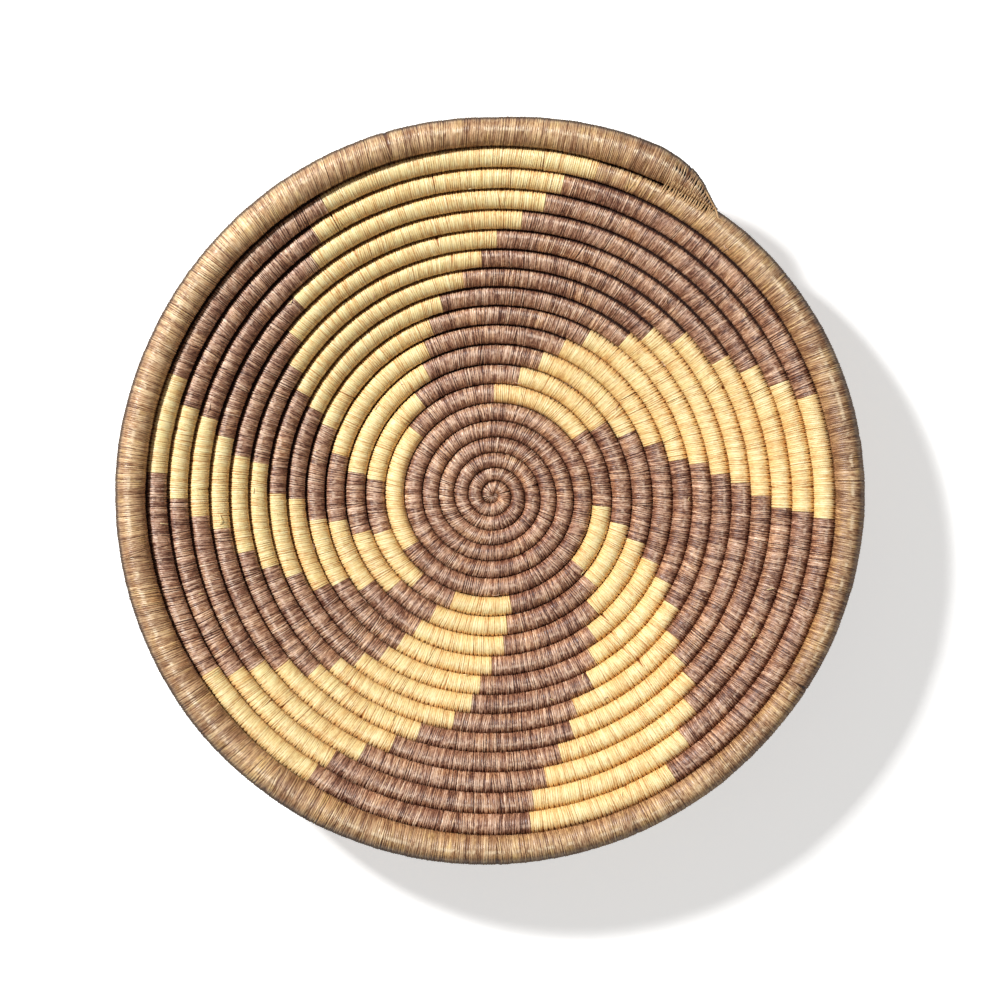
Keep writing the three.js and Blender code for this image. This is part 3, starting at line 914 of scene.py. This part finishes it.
def make_rim(start):
    marks = np.linspace(start, TAIL_START, RIM_PARTS + 1)
    for number, (first, last) in enumerate(zip(marks, marks[1:])):
        wrap = Wrap(first, last, SEEDS["rim"] + number)
        wrap_piece(f"rim_wrap_part_{number + 1}", [wrap], "rim", ["rim_wrap"])


def make_tail():
    wrap = Wrap(TAIL_START, TAIL_END, SEEDS["tail"], stitch=TIGHT_STITCH, slots=TAIL_SLOTS)
    wrap_piece("tail_lashing_wrap", [wrap], "rim", ["tail_lashing"])
    strand_piece("tail_over_stitches", tail_strands(), "rim", ["tail_lashing"])


# Loose strands

def strand_points(line, beside, width, thickness):
    """Rings of points round a line, smaller at its two ends."""
    along = np.gradient(line, axis=0)
    along /= np.linalg.norm(along, axis=1)[:, None]
    sideways = beside - (beside * along).sum(axis=1)[:, None] * along
    sideways /= np.linalg.norm(sideways, axis=1)[:, None]
    upwards = np.cross(sideways, along)
    steps = np.arange(len(line))
    taper = np.clip(np.minimum(steps, steps[::-1]) + STRAND_TIP, 0, 1)[:, None, None]
    angles = round_angles(STRAND_SIDES)[None, :, None]
    ring = (np.cos(angles) * sideways[:, None] * width / 2
            + np.sin(angles) * upwards[:, None] * thickness / 2)
    return line[:, None] + ring * taper * MM


def upper_face(turns, share):
    """Height of the coil's face above its middle, at a share of the half width outwards."""
    half_height = HEIGHT_RATIO * (half_width(turns) - SEAM_GAP / 2)
    return half_height * (1 - np.abs(share) ** SECTION_POWER) ** (1 / SECTION_POWER)


def over_faces(turns, shares, lifts):
    """A line over the coils' faces, and the way from it to the line beside it."""
    outwards = shares * half_width(turns)
    upwards = upper_face(turns, np.clip(shares, -FACE_EDGE, FACE_EDGE)) + lifts
    line = places(turns, outwards, upwards)
    return line, places(turns + SIDE_STEP, outwards, upwards) - line


def from_corner_to_corner(corners):
    """Points on the straight lines between corners, in three steps from each to the next."""
    numbers = np.arange(len(corners))
    steps = np.linspace(0, numbers[-1], 3 * numbers[-1] + 1)
    return np.stack([np.interp(steps, numbers, axis) for axis in corners.T], axis=-1)


def strand_through(stops, lift, width, thickness):
    """A strand over places on the coils' faces, straight from each to the next."""
    turns, shares = np.array(stops).T
    line, beside = (from_corner_to_corner(corners) for corners in over_faces(turns, shares, lift))
    return line, beside, width, thickness


def tail_strands():
    """Stitches from the tail over the seam into the coil beneath, and a pale strand along the tip."""
    random = np.random.default_rng(SEEDS["tail_strands"])
    own_spread, spread_beneath = TAIL_STITCH_SPREADS
    strands = []
    for turn in (np.linspace(*TAIL_STITCH_TURNS, TAIL_STITCHES)
                 + random.normal(0, own_spread, TAIL_STITCHES)):
        beneath = turn - 1 + random.normal(0, spread_beneath)
        reach = random.uniform(*TAIL_STITCH_REACH)
        stops = [(turn, place) for place in TAIL_STITCH_PLACES]
        stops += [(beneath, place) for place in (*TAIL_STITCH_PLACES_BENEATH, reach)]
        width = random.uniform(*TAIL_STITCH_WIDTH)
        strands.append(strand_through(stops, TAIL_STITCH_LIFT, width, TAIL_STITCH_THICKNESS))
    strands.append(strand_through(TIP_STRAND, TIP_STRAND_LIFT, *TIP_STRAND_SIZE))
    return strands


def loop_line(random, turn, share, span, steps):
    """A loop that stands up along a seam."""
    shares = share + random.normal(0, LOOP_BEND) * np.sin(math.pi * steps)
    lifts = random.uniform(*LOOP_LIFT) * np.sin(math.pi * steps)
    return turn + span * steps, shares, lifts


def end_line(random, turn, share, span, steps):
    """A loose end that rises over the coil's face."""
    shares = share * (1 - random.uniform(*END_BEND) * steps)
    lifts = END_START + random.uniform(*END_LIFT) * steps ** 2
    return turn + END_SHARE * span * steps, shares, lifts


def stray_fibres(kind, marked):
    """Small loops and loose ends of raffia that stand up from the seams, some at marked places."""
    random = np.random.default_rng(SEEDS[f"{kind}_strays"])
    steps = np.linspace(0, 1, STRAY_STEPS)
    strands = []
    for number in range(STRAY_COUNTS[kind]):
        turn = random.uniform(*STRAY_TURNS)
        share = random.choice([-1, 1]) * random.uniform(*STRAY_PLACES)
        length = random.uniform(*STRAY_LENGTHS)
        if number < len(marked):
            turn, share, length = marked[number]
        span = length / (2 * math.pi * profile(turn)[0])
        form = loop_line if random.uniform() < LOOP_SHARE else end_line
        line, beside = over_faces(*form(random, turn, share, span, steps))
        thickness = random.uniform(*STRAY_THICKNESS)
        strands.append((line, beside, thickness, thickness))
    return strands


def make_basket():
    inner_arm = natural_runs(NATURAL_ARMS[-1], FIRST_PATTERN_TURN)
    other_arms = [natural_runs(arm, FIRST_PATTERN_TURN + 1) for arm in NATURAL_ARMS[:-1]]
    make_arms(inner_arm, other_arms)
    make_centre(inner_arm[0][0])
    make_rim(inner_arm[-1][1])
    make_tail()
    strand_piece("stray_fibres_natural", stray_fibres("natural", NATURAL_STRAYS), "natural")
    strand_piece("stray_fibres_dyed", stray_fibres("dyed", DYED_STRAYS), "dyed")


# The floor, the lights and the camera, in metres
FLOOR_SIZE = 6
FLOOR_COLOUR = (0.86, 0.86, 0.85)
FLOOR_ROUGHNESS = 0.9
FLOOR_GLOW = 0.5          # seen by the camera only, so that the floor is near white
SKY_COLOUR = (1, 0.95, 0.9)
SKY_STRENGTH = 0.18
LIGHTS = [("key", (-0.95, 0.75, 1.12), 0.18, 38.5),
          ("fill", (1.0, -0.8, 1.4), 1.2, 3.5)]      # name, place, size and power
CAMERA_HEIGHT = 1.1
CAMERA_SIDESTEP = (-0.032, 0.012)
RIM_HEIGHT = 0.05
SEEN_WIDTH = 0.441        # of the picture, at the rim's height
SENSOR_WIDTH = 36         # in millimetres
MIDDLE_FROM_AXIS = (1.8, -1.7)                       # the picture's middle, in millimetres


def make_floor():
    bpy.ops.mesh.primitive_plane_add(size=FLOOR_SIZE)
    floor = bpy.context.object
    floor.name = "floor"
    shading = Shading("pale_floor")
    shading.shade("Base Color", FLOOR_COLOUR)
    shading.shade("Roughness", FLOOR_ROUGHNESS)
    shading.shade("Emission Color", (1, 1, 1))
    seen = shading.nodes.new("ShaderNodeLightPath").outputs["Is Camera Ray"]
    shading.shade("Emission Strength", shading.times(seen, FLOOR_GLOW))
    floor.data.materials.append(shading.material)


def make_sky():
    world = bpy.data.worlds.new("studio")
    bpy.context.scene.world = world
    world.use_nodes = True
    background = world.node_tree.nodes["Background"]
    background.inputs["Color"].default_value = (*SKY_COLOUR, 1)
    background.inputs["Strength"].default_value = SKY_STRENGTH


def add_area_light(name, place, size, power):
    """A square light that points at the basket's base."""
    data = bpy.data.lights.new(name, "AREA")
    data.size = size
    data.energy = power
    light = bpy.data.objects.new(name, data)
    light.location = place
    light.rotation_euler = (-Vector(place)).to_track_quat("-Z", "Y").to_euler()
    bpy.context.scene.collection.objects.link(light)


def make_camera():
    """Straight above the base and a little to one side, the picture shifted back over the basket."""
    data = bpy.data.cameras.new("camera")
    camera = bpy.data.objects.new("camera", data)
    bpy.context.scene.collection.objects.link(camera)
    bpy.context.scene.camera = camera
    middle = Vector((AXIS_X + MIDDLE_FROM_AXIS[0], AXIS_Y + MIDDLE_FROM_AXIS[1], 0)) * MM
    camera.location = middle + Vector((*CAMERA_SIDESTEP, CAMERA_HEIGHT))
    data.sensor_width = SENSOR_WIDTH
    data.lens = SENSOR_WIDTH * (CAMERA_HEIGHT - RIM_HEIGHT) / SEEN_WIDTH
    data.shift_x = -CAMERA_SIDESTEP[0] / SEEN_WIDTH
    data.shift_y = -CAMERA_SIDESTEP[1] / SEEN_WIDTH


bpy.context.scene.view_settings.view_transform = "Standard"
make_basket()
make_floor()
make_sky()
for light_values in LIGHTS:
    add_area_light(*light_values)
make_camera()
